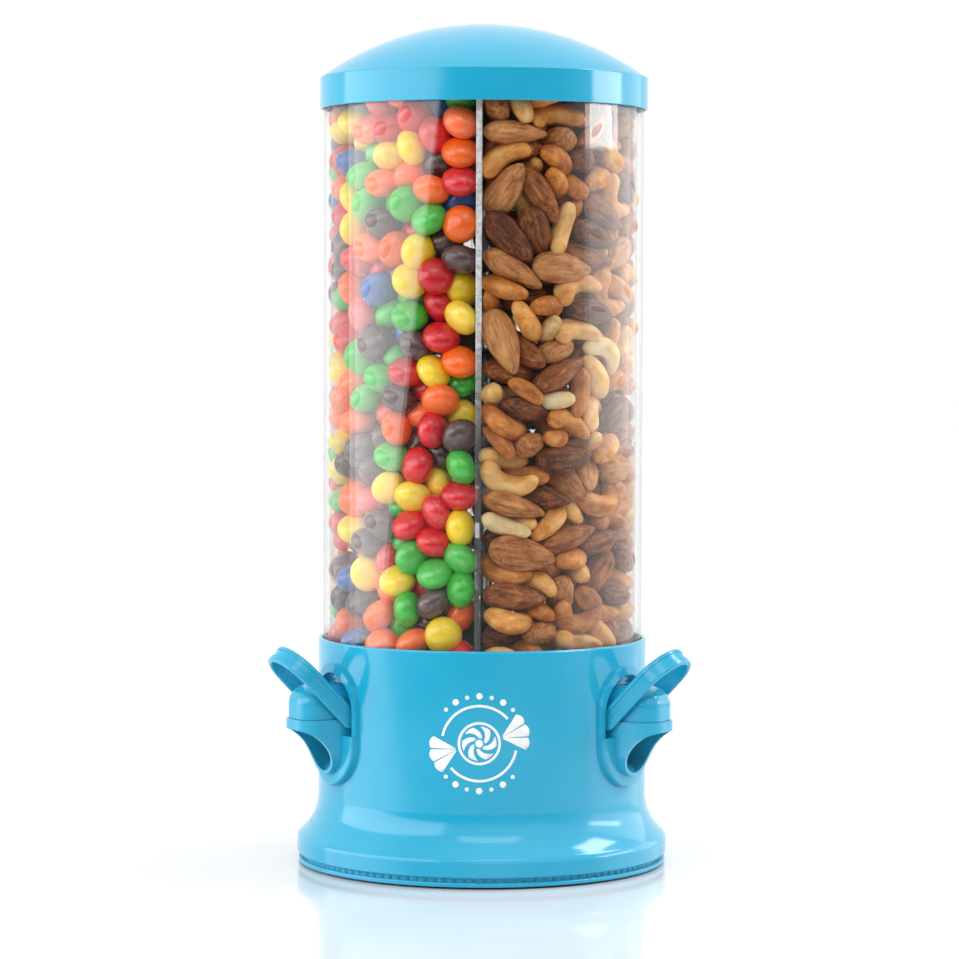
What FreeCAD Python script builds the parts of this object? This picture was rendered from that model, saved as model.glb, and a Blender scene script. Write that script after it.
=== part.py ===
import FreeCAD, Part
import math
import os

# Three-compartment snack dispenser on a swivel foot.
# Millimetres, +Z up, origin on the axis of the body in the plane it stands on, front towards -Y.
# A dispenser is drawn pointing along +X (x = distance from the axis, y = sideways) and then
# turned to its place: left, right and rear, 120 degrees apart.

# ---- driving dimensions -------------------------------------------------------------------
STATIONS = {"left": 210.0, "right": 330.0, "rear": 90.0}
DIVIDERS = {"front_divider": 270.0, "right_divider": 30.0, "left_divider": 150.0}

# swivel foot
PAD_HEIGHT = 0.8             # how far the rubber ring stands below the foot
FOOT_RADIUS = 73.5
FOOT_TOP = 2.6
RIB_BAND_TOP = 4.0
RIB_OUTER = 71.9
RIB_INNER = 71.4
RIB_COUNT = 120
TRACK_RADIUS = 53.0
TRACK_WIDTH = 6.0
TRACK_TOP = 4.4
GLIDE_TOP = 6.2
PIVOT_RADIUS = 5.0
RUNNING_GAP = 0.08

# base
SHELL_BOTTOM = 4.3
SHELL_RADIUS = 65.6
SHELL_WALL = 2.4
FOOT_FLARE_RADIUS = 74.0
LEDGE_LOW = 75.0
LEDGE_TOP = 77.6
LEDGE_INNER = 61.4
SHELL_TOP = 90.2
RIM_INNER = 63.95
PLATE_LOW = 6.4
PLATE_TOP = 8.6
PLATE_RADIUS = 71.2
BOSS_PITCH = 59.4
BOSS_TOP = 26.0

# canister
FUNNEL_TOP = 80.0
TUBE_OUTER = 63.7
TUBE_WALL = 2.7
TUBE_TOP = 309.0
PANEL_THICKNESS = 2.4
PANEL_TOP = 305.5
RAIL_DEPTH = 2.0
RAIL_WIDTH = 1.3
POST_RADIUS = 5.0

# lid
LID_SKIRT_OUTER = 65.3
LID_SKIRT_INNER = 64.05
LID_SKIRT_LOW = 300.2
LID_SHOULDER = 312.8
LID_TOP = 334.0
LID_CAP_RADIUS = 110.0
LID_WALL = 2.2

# dispenser
SEAM = 61.3                  # height of the joint between spout and hood, and of the axle
AXLE_X = 64.8
AXLE_RADIUS = 2.0
CARTRIDGE_BACK = 54.8
HOOD_HALF = 9.8
HOOD_TOP = 74.2
HOOD_FRONT = 83.6
HOOD_ROUND = 7.2
HOOD_INSIDE_ROUND = 4.2      # small enough for the shutter to swing under it
HOOD_WALL = 1.5
HOOD_GAP = 0.2                 # clearance round the hood where it passes through the surround
SPOUT_HALF = 10.6
SPOUT_FRONT = 84.5
SPOUT_ROUND = 8.0
SPOUT_WALL = 1.5
SPOUT_CENTRE = 49.4          # height of the centre of the round bottom of the spout
MOUTH_X = 88.0               # centre of the arc that cuts the mouth of the spout
MOUTH_Z = 40.0
MOUTH_RADIUS = 17.5
PLUG_HALF = 15.9
PLUG_INNER = 62.9
PLUG_NOTCH = 77.2            # above this the plug keeps clear of the funnel and the tube
BEZEL_HALF = 17.0
BEZEL_LOW_CENTRE = 51.0
BEZEL_HIGH_CENTRE = 65.0
BEZEL_FACE = 66.25
BEZEL_RIM = 67.4
RECESS_HALF = 15.2
RECESS_CENTRE = 63.4
RECESS_FLOOR = 63.9
FLANGE_HALF = 16.6
FLANGE_FACE = 68.4
FLANGE_TOP = 54.9
LEVER_ANGLE = 45.7           # how far the lever points up from level at rest
LEVER_REACH = 36.5
LEVER_INNER = 11.2
LEVER_OUTER = 13.3
LEVER_WIDTH = 7.2
SQUARE_REACH = 12.3          # half the length of the square ends that drive in blind holes of the lever
GATE_RADIUS = 9.4
GATE_WALL = 1.2
GATE_HALF = 7.5
GATE_WEB = 1.0
GATE_FROM = 140.0            # the shutter covers these angles about the axle at rest
GATE_TO = 235.0
SPRING_WIRE = 0.7
SPRING_RADIUS = 3.4
SPRING_TURNS = 4
SPRING_LEG = 10.0
SCREW_RADIUS = 1.1
SCREW_HEAD = 1.8
SCREW_SPREAD = 13.7
LOW_SCREW = 36.9

ORIGIN = FreeCAD.Vector(0, 0, 0)
X = FreeCAD.Vector(1, 0, 0)
Y = FreeCAD.Vector(0, 1, 0)
Z = FreeCAD.Vector(0, 0, 1)
V = FreeCAD.Vector


# ---- small helpers --------------------------------------------------------------------------
def turned(shape, degrees):
    result = shape.copy()
    result.rotate(ORIGIN, Z, degrees)
    return result


def drum(radius, low, high, x=0.0, y=0.0):
    return Part.makeCylinder(radius, high - low, V(x, y, low))


def ring(outer, inner, low, high):
    return drum(outer, low, high).cut(drum(inner, low - 1, high + 1))


def block(x0, x1, y0, y1, z0, z1):
    return Part.makeBox(x1 - x0, y1 - y0, z1 - z0, V(x0, y0, z0))


def joined(shapes):
    first = shapes[0]
    return first.fuse(shapes[1:]).removeSplitter() if len(shapes) > 1 else first


def prism(points, direction):
    wire = Part.makePolygon(points + [points[0]])
    return Part.Face(wire).extrude(direction)


def revolved(outline):
    wire = Part.Wire(outline)
    return Part.Face(wire).revolve(ORIGIN, Z, 360)


def lines(points):
    return [Part.makeLine(a, b) for a, b in zip(points, points[1:])]


def arc(a, middle, b):
    return Part.Arc(a, middle, b).toShape()


def stadium(half, low_centre, high_centre, x0, x1):
    """An upright slot shape, round at both ends, running along X."""
    shape = block(x0, x1, -half, half, low_centre, high_centre)
    for centre in (low_centre, high_centre):
        end = Part.makeCylinder(half, x1 - x0, V(x0, 0, centre), X)
        shape = shape.fuse(end)
    return shape.removeSplitter()


def trough(half, centre, top, x0, x1):
    """A U shape, round below and cut level at the top, running along X."""
    bottom = Part.makeCylinder(half, x1 - x0, V(x0, 0, centre), X)
    return bottom.fuse(block(x0, x1, -half, half, centre, top)).common(
        block(x0, x1, -half, half, centre - half, top)).removeSplitter()


def edges_where(shape, test):
    return [edge for edge in shape.Edges if test(edge)]


def upright(edge):
    ends = [vertex.Point for vertex in edge.Vertexes]
    return len(ends) == 2 and math.hypot(ends[0].x - ends[1].x, ends[0].y - ends[1].y) < 1e-6


def all_points(edge, test):
    first, last = edge.ParameterRange
    samples = [edge.valueAt(first + (last - first) * k / 4.0) for k in range(5)]
    return all(test(point) for point in samples)


# ---- swivel foot ------------------------------------------------------------------------------
def turntable_foot():
    plate = drum(FOOT_RADIUS, PAD_HEIGHT, FOOT_TOP)
    rim = edges_where(plate, lambda e: abs(e.Curve.Radius - FOOT_RADIUS) < 0.01
                      if hasattr(e.Curve, "Radius") else False)
    plate = plate.makeFillet(0.5, rim)
    step = 360.0 / RIB_COUNT
    comb = []
    for number in range(RIB_COUNT):
        for share, radius in ((0.0, RIB_INNER), (0.3, RIB_OUTER), (0.7, RIB_OUTER)):
            angle = math.radians(step * (number + share))
            comb.append(V(radius * math.cos(angle), radius * math.sin(angle), FOOT_TOP - 0.2))
    band = prism(comb, V(0, 0, RIB_BAND_TOP - FOOT_TOP + 0.2)).cut(drum(RIB_INNER - 4.0, 0, 9))
    track = ring(TRACK_RADIUS + TRACK_WIDTH / 2, TRACK_RADIUS - TRACK_WIDTH / 2, FOOT_TOP - 0.2, TRACK_TOP)
    hub = drum(12.0, FOOT_TOP - 0.2, 5.9)
    foot = joined([plate, band, track, hub])
    washer_pocket = drum(9.6, PAD_HEIGHT - 1, 3.0)
    pad_groove = ring(71.2, 67.8, PAD_HEIGHT - 1, PAD_HEIGHT + 0.4)
    return foot.cut([washer_pocket, drum(PIVOT_RADIUS + RUNNING_GAP, 0, 9), pad_groove])


def anti_slip_ring():
    pad = ring(71.0, 68.0, 0.0, PAD_HEIGHT + 0.4)
    low = edges_where(pad, lambda e: all_points(e, lambda p: p.z < 0.01))
    return pad.makeFillet(0.35, low)


def glide_ring():
    outer = TRACK_RADIUS + TRACK_WIDTH / 2
    inner = TRACK_RADIUS - TRACK_WIDTH / 2
    return ring(outer, inner, TRACK_TOP, GLIDE_TOP)


def base_plate():
    plate = drum(PLATE_RADIUS, PLATE_LOW, PLATE_TOP)
    spigot = drum(PIVOT_RADIUS, 2.85, PLATE_LOW + 0.5)
    boss = drum(6.0, PLATE_TOP - 0.5, 12.0)
    holes = [drum(1.4, 2, 11.0)]
    for corner in range(6):
        a = math.radians(60.0 * corner)
        x, y = BOSS_PITCH * math.cos(a), BOSS_PITCH * math.sin(a)
        holes.append(drum(1.7, 0, 20, x, y))
        holes.append(drum(3.3, 0, PLATE_LOW + 0.9, x, y))
    return joined([plate, spigot, boss]).cut(holes)


def pivot_washer():
    return ring(8.6, 1.6, 2.05, 2.85)


def pan_screw(shank, head, length, head_height, x=0.0, y=0.0, z=0.0):
    """A screw pointing up from its head, whose top face touches the part at height z."""
    body = drum(shank, z - 0.2, z + length, x, y)
    cap = drum(head, z - head_height, z, x, y)
    rim = edges_where(cap, lambda e: all_points(e, lambda p: p.z < z - head_height + 0.01))
    cap = cap.makeFillet(head_height * 0.4, [e for e in rim if hasattr(e.Curve, "Radius")])
    slot = block(x - 0.35, x + 0.35, y - head, y + head, z - head_height - 1, z - head_height * 0.5)
    return body.fuse(cap).removeSplitter().cut(slot)


def pivot_screw():
    return pan_screw(1.4, 3.4, 8.0, 1.15, z=2.05)


def base_screws():
    screws = []
    for corner in range(6):
        a = math.radians(60.0 * corner)
        x, y = BOSS_PITCH * math.cos(a), BOSS_PITCH * math.sin(a)
        screws.append(pan_screw(1.3, 2.9, 10.0, 1.3, x, y, PLATE_LOW + 0.9))
    return Part.makeCompound(screws)


# ---- base ------------------------------------------------------------------------------------------
def shell_outline():
    """Outer profile: upright band, bead, hollow flare and a straight wall up to the rim."""
    r = SHELL_RADIUS
    flare = FOOT_FLARE_RADIUS
    outer = lines([V(flare - 0.5, 0, SHELL_BOTTOM), V(flare, 0, SHELL_BOTTOM + 0.5), V(flare, 0, 10.2)])
    shoulder = arc(V(flare, 0, 10.2), V(flare - 0.35, 0, 11.35), V(flare - 1.15, 0, 12.35))
    hollow = arc(V(flare - 1.15, 0, 12.35), V(r + 2.35, 0, 18.6), V(r, 0, 27.5))
    wall = lines([V(r, 0, 27.5), V(r, 0, SHELL_TOP - 0.7)])
    lip = arc(V(r, 0, SHELL_TOP - 0.7), V(r - 0.2, 0, SHELL_TOP - 0.2), V(r - 0.7, 0, SHELL_TOP))
    inner_wall = r - SHELL_WALL
    inside = lines([V(r - 0.7, 0, SHELL_TOP), V(RIM_INNER + 0.3, 0, SHELL_TOP),
                    V(RIM_INNER, 0, SHELL_TOP - 0.3), V(RIM_INNER, 0, LEDGE_TOP),
                    V(LEDGE_INNER, 0, LEDGE_TOP), V(LEDGE_INNER, 0, LEDGE_LOW),
                    V(inner_wall, 0, LEDGE_LOW - 2.0), V(inner_wall, 0, 27.0),
                    V(r - 0.2, 0, 18.5), V(70.2, 0, 11.5), V(70.2, 0, PLATE_TOP),
                    V(71.5, 0, PLATE_TOP), V(71.5, 0, SHELL_BOTTOM), V(flare - 0.5, 0, SHELL_BOTTOM)])
    return outer + [shoulder, hollow] + wall + [lip] + inside


def base_shell():
    shell = revolved(shell_outline())
    bosses = []
    bores = []
    for corner in range(6):
        a = math.radians(60.0 * corner)
        x, y = BOSS_PITCH * math.cos(a), BOSS_PITCH * math.sin(a)
        bosses.append(drum(4.2, PLATE_TOP, BOSS_TOP, x, y))
        bores.append(drum(1.3, PLATE_TOP - 1, PLATE_TOP + 12, x, y))
    solid_inside = drum(SHELL_RADIUS - 0.6, PLATE_TOP, BOSS_TOP + 1)
    bosses = [boss.common(solid_inside) for boss in bosses]
    shell = joined([shell] + bosses)
    hole = stadium(16.0, BEZEL_LOW_CENTRE, BEZEL_HIGH_CENTRE - 0.4, 50.0, 80.0)
    holes = [turned(hole, azimuth) for azimuth in STATIONS.values()]
    return shell.cut(bores + holes)


# ---- hopper, canister and lid ------------------------------------------------------------------
def chute(side, tip, front_x, front_y, back_x, mouth_half, mouth_low, mouth_high):
    """A flat-sided funnel from a 120 degree sector at the top to an upright mouth by the cartridge."""
    slope = math.radians(60.0)
    along = V(math.cos(slope), -math.sin(slope), 0)
    inward = V(math.sin(slope), math.cos(slope), 0)
    near = along * back_x + inward * side + V(0, 0, FUNNEL_TOP)
    far = along * tip + inward * side + V(0, 0, FUNNEL_TOP)
    half_top = [near, far, V(front_x, -front_y, FUNNEL_TOP)]
    top = half_top + [V(p.x, -p.y, p.z) for p in reversed(half_top)]
    mouth_x = CARTRIDGE_BACK - 0.2
    middle = (mouth_low + mouth_high) / 2
    half_mouth = [V(mouth_x, -mouth_half, z) for z in (mouth_low, middle, mouth_high)]
    mouth = half_mouth + [V(p.x, -p.y, p.z) for p in reversed(half_mouth)]
    faces = [Part.Face(Part.makePolygon(outline + [outline[0]])) for outline in (top, mouth)]
    for k in range(len(top)):
        n = (k + 1) % len(top)
        for corners in ((top[k], top[n], mouth[n]), (top[k], mouth[n], mouth[k])):
            faces.append(Part.Face(Part.makePolygon(list(corners) + [corners[0]])))
    shell = Part.makeShell(faces)
    shell.sewShape()
    solid = Part.makeSolid(shell)
    if solid.Volume < 0:
        solid.reverse()
    return solid


def hopper_funnel():
    disc = drum(TUBE_OUTER - 0.1, LEDGE_TOP, FUNNEL_TOP)
    outer = chute(0.6, 60.4, 58.0, 18.6, 6.0, 9.6, 48.4, 71.6)
    inner = chute(2.2, 60.0, 57.3, 18.0, 8.0, 8.0, 50.0, 70.0)
    skins = [turned(outer, azimuth) for azimuth in STATIONS.values()]
    voids = [turned(inner, azimuth) for azimuth in STATIONS.values()]
    return disc.fuse(skins).cut(voids)


def clear_tube():
    inner = TUBE_OUTER - TUBE_WALL
    tube = ring(TUBE_OUTER, inner, FUNNEL_TOP, TUBE_TOP)
    rim = edges_where(tube, lambda e: all_points(e, lambda p: p.z > TUBE_TOP - 0.01))
    tube = tube.makeFillet(0.6, rim)
    gap = PANEL_THICKNESS / 2 + 0.15
    rails = []
    for azimuth in DIVIDERS.values():
        for y0 in (gap, -gap - RAIL_WIDTH):
            rail = block(inner - RAIL_DEPTH, inner + 0.6, y0, y0 + RAIL_WIDTH, FUNNEL_TOP, PANEL_TOP)
            rails.append(turned(rail, azimuth))
    return tube.fuse(rails).removeSplitter()


def divider_panel():
    inner = TUBE_OUTER - TUBE_WALL
    half = PANEL_THICKNESS / 2
    panel = block(2.6, inner - 0.25, -half, half, FUNNEL_TOP, PANEL_TOP)
    return panel.makeFillet(0.5, edges_where(panel, upright))


def centre_post():
    post = drum(POST_RADIUS, FUNNEL_TOP, PANEL_TOP)
    half = PANEL_THICKNESS / 2 + 0.1
    slots = [turned(block(2.4, 9, -half, half, FUNNEL_TOP - 1, PANEL_TOP + 1), a)
             for a in DIVIDERS.values()]
    return post.cut(slots)


def lid():
    centre = LID_TOP - LID_CAP_RADIUS
    seat = TUBE_TOP + 0.2
    seat_inner = TUBE_OUTER - TUBE_WALL + 0.6
    inner_cap = LID_CAP_RADIUS - LID_WALL

    def on_cap(radius, r):
        return centre + math.sqrt(radius * radius - r * r)

    edge = LID_SKIRT_OUTER - 0.5
    outline = lines([V(LID_SKIRT_INNER + 0.3, 0, LID_SKIRT_LOW), V(LID_SKIRT_OUTER - 0.3, 0, LID_SKIRT_LOW),
                     V(LID_SKIRT_OUTER, 0, LID_SKIRT_LOW + 0.3), V(LID_SKIRT_OUTER, 0, LID_SHOULDER - 0.5)])
    outline.append(arc(V(LID_SKIRT_OUTER, 0, LID_SHOULDER - 0.5),
                       V(LID_SKIRT_OUTER - 0.1, 0, LID_SHOULDER - 0.12),
                       V(edge, 0, on_cap(LID_CAP_RADIUS, edge))))
    half = edge / 2
    outline.append(arc(V(edge, 0, on_cap(LID_CAP_RADIUS, edge)),
                       V(half, 0, on_cap(LID_CAP_RADIUS, half)), V(0, 0, LID_TOP)))
    outline += lines([V(0, 0, LID_TOP), V(0, 0, LID_TOP - LID_WALL)])
    half = seat_inner / 2
    outline.append(arc(V(0, 0, LID_TOP - LID_WALL), V(half, 0, on_cap(inner_cap, half)),
                       V(seat_inner, 0, on_cap(inner_cap, seat_inner))))
    outline += lines([V(seat_inner, 0, on_cap(inner_cap, seat_inner)), V(seat_inner, 0, seat),
                      V(LID_SKIRT_INNER, 0, seat), V(LID_SKIRT_INNER, 0, LID_SKIRT_LOW + 0.3),
                      V(LID_SKIRT_INNER + 0.3, 0, LID_SKIRT_LOW)])
    return revolved(outline)


# ---- dispenser ----------------------------------------------------------------------------------
def between_radii(shape, inner, outer):
    """The part of a shape that lies between two cylinders about the body axis."""
    return shape.common(turned(ring(outer, inner, 20.0, 95.0), 180.0))


def screw_places():
    side_height = BEZEL_LOW_CENTRE + 0.5
    return [(-SCREW_SPREAD, side_height), (SCREW_SPREAD, side_height), (0.0, LOW_SCREW)]


def hood_passage(half, top):
    """The hood's cross-section run outward, to cut its hole in the surround."""
    body = block(40, 80, -half, half, SEAM - 1.0, top)
    sides = edges_where(body, lambda e: all_points(e, lambda p: p.z > top - 0.01 and abs(p.y) > half - 0.01))
    return body.makeFillet(HOOD_ROUND, sides)


def bezel():
    """A stadium-shaped surround: a plug in the hole of the wall, a face on the wall and a raised arch."""
    high_centre = BEZEL_HIGH_CENTRE - 0.4
    seat = SHELL_RADIUS + 0.02
    plug_shape = stadium(PLUG_HALF, BEZEL_LOW_CENTRE, high_centre, 50, 80)
    plug = between_radii(plug_shape, PLUG_INNER, seat)
    plug = plug.cut(turned(drum(RIM_INNER + 0.05, PLUG_NOTCH, 95), 180.0))
    face_shape = stadium(BEZEL_HALF, BEZEL_LOW_CENTRE, BEZEL_HIGH_CENTRE, 50, 80)
    face = between_radii(face_shape, seat, BEZEL_FACE)
    above_flange = block(50, 80, -20, 20, FLANGE_TOP, 90)
    arch = between_radii(face_shape.common(above_flange), BEZEL_FACE - 0.3, BEZEL_RIM)
    body = joined([plug, face, arch])
    recess = block(50, 80, -RECESS_HALF, RECESS_HALF, FLANGE_TOP, RECESS_CENTRE)
    recess = recess.fuse(Part.makeCylinder(RECESS_HALF, 30, V(50, 0, RECESS_CENTRE), X)).removeSplitter()
    deep = between_radii(recess, RECESS_FLOOR, 90.0).common(block(50, 80, -20, 20, 30, PLUG_NOTCH - 1.0))
    shallow = between_radii(recess, RIM_INNER + 0.95, 90.0)
    spout_passage = trough(SPOUT_HALF + 0.15, SPOUT_CENTRE, SEAM, 40, 80)
    window = spout_passage.fuse(hood_passage(HOOD_HALF + HOOD_GAP, HOOD_TOP + HOOD_GAP))
    ear_half = LEVER_OUTER + 0.4
    ear_reach = LEVER_WIDTH / 2 + 0.7
    ear = block(40, 80, -ear_half, ear_half, SEAM - ear_reach, SEAM + ear_reach)
    cuts = [deep, shallow, window, ear]
    for y, z in screw_places():
        cuts.append(Part.makeCylinder(SCREW_RADIUS + 0.15, 40, V(40, y, z), X))
        cuts.append(Part.makeCylinder(SCREW_HEAD + 0.2, 21.6 if y else 23.4, V(40, y, z), X))
    return body.cut(cuts)


def mouth_cutter():
    cutter = Part.makeCylinder(MOUTH_RADIUS, 60, V(MOUTH_X, -30, MOUTH_Z), Y)
    return cutter.fuse(block(MOUTH_X - MOUTH_RADIUS, 120, -30, 30, 20, MOUTH_Z))


def rounded_plan(half, front, rounding, low, high):
    """A block with its two front upright corners rounded."""
    body = block(40.0, front, -half, half, low, high)
    corners = edges_where(body, lambda e: upright(e) and e.Vertexes[0].Point.x > front - 0.01)
    return body.makeFillet(rounding, corners)


def spout():
    top = SEAM - 0.05
    outer = trough(SPOUT_HALF, SPOUT_CENTRE, top, CARTRIDGE_BACK, SPOUT_FRONT)
    outer = outer.common(rounded_plan(SPOUT_HALF, SPOUT_FRONT, SPOUT_ROUND, 30, top))
    inside_half = SPOUT_HALF - SPOUT_WALL
    inside_front = SPOUT_FRONT - SPOUT_WALL
    inner = trough(inside_half, SPOUT_CENTRE, top + 5, 40, inside_front)
    inner = inner.common(rounded_plan(inside_half, inside_front, SPOUT_ROUND - SPOUT_WALL, 30, top + 5))
    flange = between_radii(trough(FLANGE_HALF, BEZEL_LOW_CENTRE, FLANGE_TOP, 50, 80), BEZEL_FACE, FLANGE_FACE)
    flange_edges = edges_where(flange, lambda e: all_points(
        e, lambda p: math.hypot(p.x, p.y) > FLANGE_FACE - 0.01) and not all_points(
        e, lambda p: p.z > FLANGE_TOP - 0.01))
    flange = flange.makeFillet(0.9, flange_edges)
    body = outer.fuse(flange).removeSplitter()
    body = body.cut([inner, mouth_cutter()])
    ramp = prism([V(CARTRIDGE_BACK, -30, 49.0), V(69.4, -30, 40.2), V(69.4, -30, 38.4),
                  V(CARTRIDGE_BACK, -30, 47.2)], V(0, 60, 0))
    inside = trough(inside_half + 0.2, SPOUT_CENTRE, top, CARTRIDGE_BACK, 70.3)
    body = body.fuse(ramp.common(inside)).removeSplitter()
    cuts = [Part.makeCylinder(AXLE_RADIUS + 0.05, 40, V(AXLE_X, -20, SEAM), Y)]
    for y, z in screw_places():
        reach = 66.4 if y else 67.9
        cuts.append(Part.makeCylinder(SCREW_RADIUS, reach - 55, V(55, y, z), X))
    return body.cut(cuts)


def rounded_hood(half, top, front, rounding, low):
    body = block(CARTRIDGE_BACK, front, -half, half, low, top)

    def rounds(e):
        on_top = all_points(e, lambda p: p.z > top - 0.01)
        at_back = all_points(e, lambda p: p.x < CARTRIDGE_BACK + 0.01)
        return (on_top and not at_back) or (upright(e) and e.Vertexes[0].Point.x > front - 0.01)

    return body.makeFillet(rounding, edges_where(body, rounds))


def hood():
    low = SEAM + 0.05
    outer = rounded_hood(HOOD_HALF, HOOD_TOP, HOOD_FRONT, HOOD_ROUND, low)
    inner_half = HOOD_HALF - HOOD_WALL
    inner = rounded_hood(inner_half, HOOD_TOP - HOOD_WALL, HOOD_FRONT - HOOD_WALL, HOOD_INSIDE_ROUND, low)
    shell = outer.cut(inner)
    tongues = []
    for side in (-1, 1):
        y0 = side * (inner_half + 0.1)
        y1 = side * (SPOUT_HALF - SPOUT_WALL - 0.1)
        tongues.append(block(69.0, 76.0, min(y0, y1), max(y0, y1), low - 1.6, low + 0.5))
    shell = joined([shell] + tongues)
    return shell.cut(Part.makeCylinder(AXLE_RADIUS + 0.05, 40, V(AXLE_X, -20, SEAM), Y))


def lever():
    """A flat-banded loop that straddles the hood; drawn level along +X from the axle, then tilted."""
    half_width = LEVER_WIDTH / 2
    low = V(0, 0, -half_width)

    def loop_blank(half, reach):
        start = reach - half
        straight = Part.makeBox(start, 2 * half, LEVER_WIDTH, V(0, -half, -half_width))
        tip = Part.makeCylinder(half, LEVER_WIDTH, low + V(start, 0, 0))
        ends = [Part.makeCylinder(half_width, 2 * half, V(0, -half, 0), Y)]
        return straight.fuse([tip] + ends).removeSplitter()

    band = LEVER_OUTER - LEVER_INNER
    loop = loop_blank(LEVER_OUTER, LEVER_REACH)
    inner_start = LEVER_REACH - LEVER_OUTER
    inner = Part.makeBox(inner_start + 20, 2 * LEVER_INNER, 20, V(-20, -LEVER_INNER, -10))
    inner = inner.fuse(Part.makeCylinder(LEVER_INNER, 20, V(inner_start, 0, -10)))
    loop = loop.cut(inner.removeSplitter())
    groove_outer = loop_blank(LEVER_OUTER + 2, LEVER_REACH + 2)
    groove_inner = loop_blank(LEVER_OUTER - 0.35, LEVER_REACH - 0.35)
    slab = Part.makeBox(80, 60, 3.0, V(3.0, -30, -1.1))
    groove = groove_outer.cut(groove_inner).common(slab)
    rim = edges_where(loop, lambda e: all_points(e, lambda p: abs(abs(p.z) - half_width) < 0.01))
    loop = loop.makeFillet(min(0.8, band * 0.4), rim)
    reach = SQUARE_REACH + 0.15
    square = Part.makeBox(2.9, 2 * reach, 2.9, V(-1.45, -reach, -1.45))
    loop = loop.cut([groove, square])
    loop.rotate(ORIGIN, Y, -LEVER_ANGLE)
    loop.translate(V(AXLE_X, 0, SEAM))
    return loop


def gate():
    """The shutter: an arc wall between two webs on the axle, with square ends for the lever."""
    axle = Part.makeCylinder(AXLE_RADIUS, 21.6, V(0, -10.8, 0), Y)
    square = Part.makeBox(2.8, 2 * SQUARE_REACH, 2.8, V(-1.4, -SQUARE_REACH, -1.4))
    square.rotate(ORIGIN, Y, -LEVER_ANGLE)

    def sector(radius, y0, y1):
        whole = Part.makeCylinder(radius, y1 - y0, V(0, y0, 0), Y)
        wedge = [V(0, y0 - 1, 0)]
        count = 4
        for k in range(count + 1):
            a = math.radians(GATE_FROM + (GATE_TO - GATE_FROM) * k / count)
            wedge.append(V(30 * math.cos(a), y0 - 1, 30 * math.sin(a)))
        return whole.common(prism(wedge, V(0, y1 - y0 + 2, 0)))

    shutter = sector(GATE_RADIUS, -GATE_HALF, GATE_HALF)
    shutter = shutter.cut(Part.makeCylinder(GATE_RADIUS - GATE_WALL, 40, V(0, -20, 0), Y))
    webs = []
    for y0 in (-GATE_HALF, GATE_HALF - GATE_WEB):
        webs.append(sector(GATE_RADIUS, y0, y0 + GATE_WEB))
        webs.append(Part.makeCylinder(4.2, GATE_WEB, V(0, y0, 0), Y))
    body = joined([axle, square, shutter] + webs)
    body.translate(V(AXLE_X, 0, SEAM))
    return body


def return_spring():
    """A torsion spring on the axle: a close-wound coil, drawn as ridges, and two straight legs."""
    half_wire = SPRING_WIRE / 2
    valley = half_wire * 0.35
    pitch = SPRING_WIRE
    height = pitch * SPRING_TURNS
    outside = []
    inside = []
    for turn in range(SPRING_TURNS):
        z0, z1, z2 = pitch * turn, pitch * (turn + 0.5), pitch * (turn + 1)
        r0, r1 = SPRING_RADIUS + valley, SPRING_RADIUS + half_wire
        outside.append(arc(V(r0, 0, z0), V(r1, 0, z1), V(r0, 0, z2)))
        r0, r1 = SPRING_RADIUS - valley, SPRING_RADIUS - half_wire
        inside.append(arc(V(r0, 0, z2), V(r1, 0, z1), V(r0, 0, z0)))
    low, high = SPRING_RADIUS - valley, SPRING_RADIUS + valley
    ends = lines([V(high, 0, height), V(low, 0, height)]) + lines([V(low, 0, 0), V(high, 0, 0)])
    coil = revolved(Part.__sortEdges__(outside + inside + ends))
    fixed_leg = Part.makeCylinder(half_wire * 0.9, SPRING_LEG - SPRING_RADIUS,
                                  V(SPRING_RADIUS, 0, half_wire), X)
    free_leg = Part.makeCylinder(half_wire * 0.9, 3.0, V(-SPRING_RADIUS, 0, height - half_wire), -X)
    spring = coil.fuse([fixed_leg, free_leg])
    spring.rotate(ORIGIN, X, -90)
    spring.rotate(ORIGIN, Y, -60)
    spring.translate(V(AXLE_X, GATE_HALF - GATE_WEB - height - 0.8, SEAM))
    return spring


def dispenser_screws():
    screws = []
    for y, z in screw_places():
        seat = 61.6 if y else 63.4
        length = 4.6 if y else 4.3
        screw = pan_screw(SCREW_RADIUS, SCREW_HEAD, length, 1.3)
        screw.rotate(ORIGIN, Y, 90)
        screw.translate(V(seat, y, z))
        screws.append(screw)
    return Part.makeCompound(screws)


# ---- the parts -------------------------------------------------------------------------------------
def parts():
    yield "turntable_foot", turntable_foot()
    yield "anti_slip_ring", anti_slip_ring()
    yield "glide_ring", glide_ring()
    yield "pivot_screw", pivot_screw()
    yield "pivot_washer", pivot_washer()
    yield "base_plate", base_plate()
    yield "base_screws", base_screws()
    yield "base_shell", base_shell()
    yield "hopper_funnel", hopper_funnel()
    yield "clear_tube", clear_tube()
    for name, azimuth in DIVIDERS.items():
        yield name, turned(divider_panel(), azimuth)
    yield "centre_post", centre_post()
    yield "lid", lid()
    makers = {"bezel": bezel, "spout": spout, "hood": hood, "lever": lever, "gate": gate,
              "return_spring": return_spring, "screws": dispenser_screws}
    for kind, maker in makers.items():
        shape = maker()
        for side, azimuth in STATIONS.items():
            yield side + "_" + kind, turned(shape, azimuth)


os.makedirs("parts", exist_ok=True)
for part_name, part_shape in parts():
    solids = part_shape.Solids
    print(part_name, "solids", len(solids), "valid", part_shape.isValid())
    kept = solids[0] if len(solids) == 1 else Part.makeCompound(solids)
    kept.exportStep("parts/" + part_name + ".step")
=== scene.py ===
"""A three-compartment snack dispenser: looks, contents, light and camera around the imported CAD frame."""
import math
import random

import bpy
import bmesh
import numpy as np
from mathutils import Matrix, Quaternion, Vector


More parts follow.
